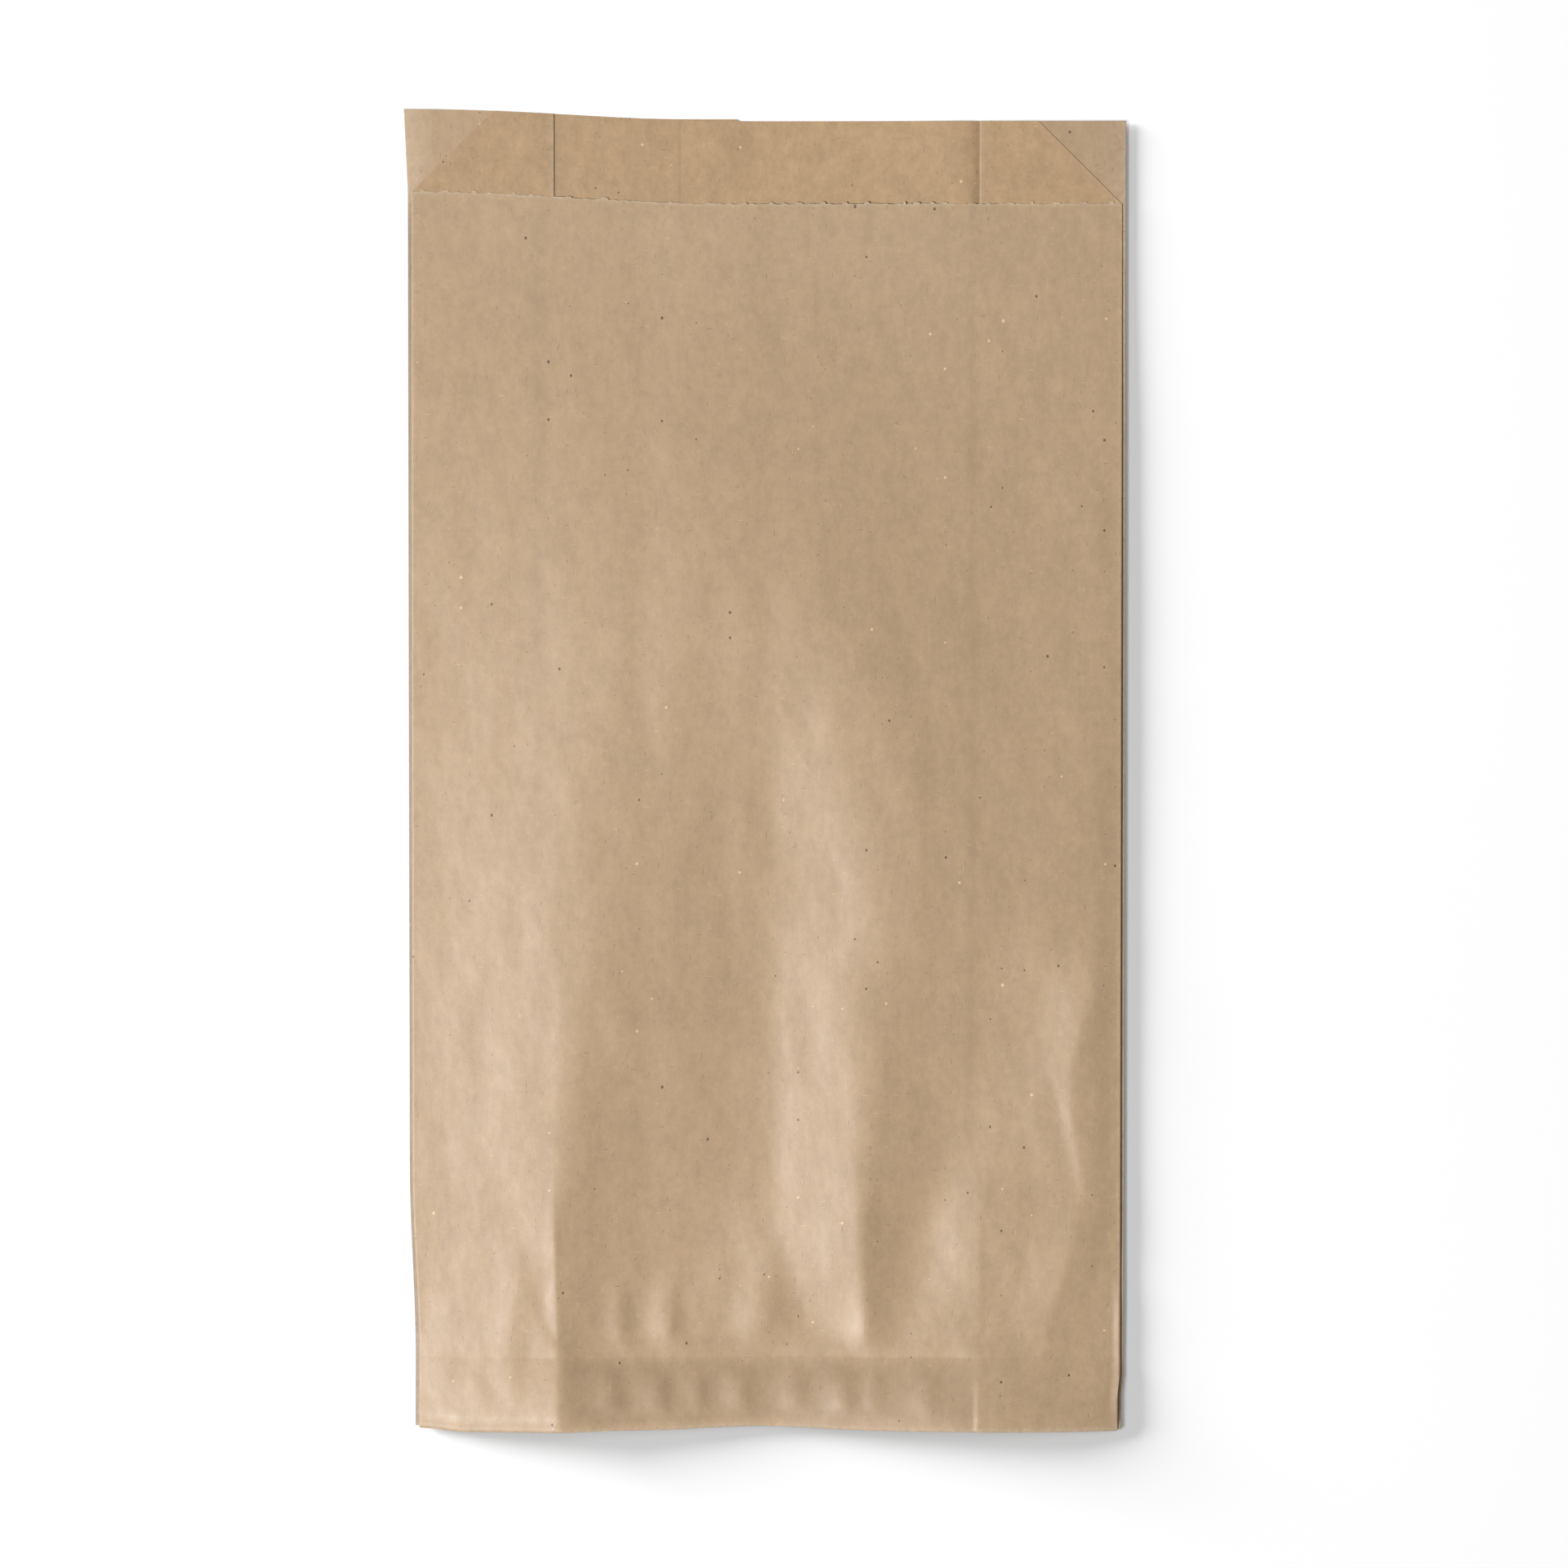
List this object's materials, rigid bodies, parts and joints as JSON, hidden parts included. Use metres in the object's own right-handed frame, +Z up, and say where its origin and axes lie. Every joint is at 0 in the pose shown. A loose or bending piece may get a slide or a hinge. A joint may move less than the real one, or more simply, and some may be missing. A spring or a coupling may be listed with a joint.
{
  "type": "flat paper bag",
  "caption": "Flat brown kraft paper bag with side gussets, a tall back lip above a torn front edge, a lapped back seam and a bottom flap glued under; carries baked goods or other loose items.",
  "frame": {"origin": "centre of the bounding box on the surface that the bag lies on", "axes": "+Z up out of the front wall, +Y from the bottom fold towards the mouth, +X to the right as seen from above"},
  "size_m": [0.1512, 0.2784, 0.0044],
  "materials": {
    "paper_bag": "machine-glazed brown kraft, matt"
  },
  "bodies": {
    "root": {"paper_bag": "paper_bag"}
  },
  "joints": []
}
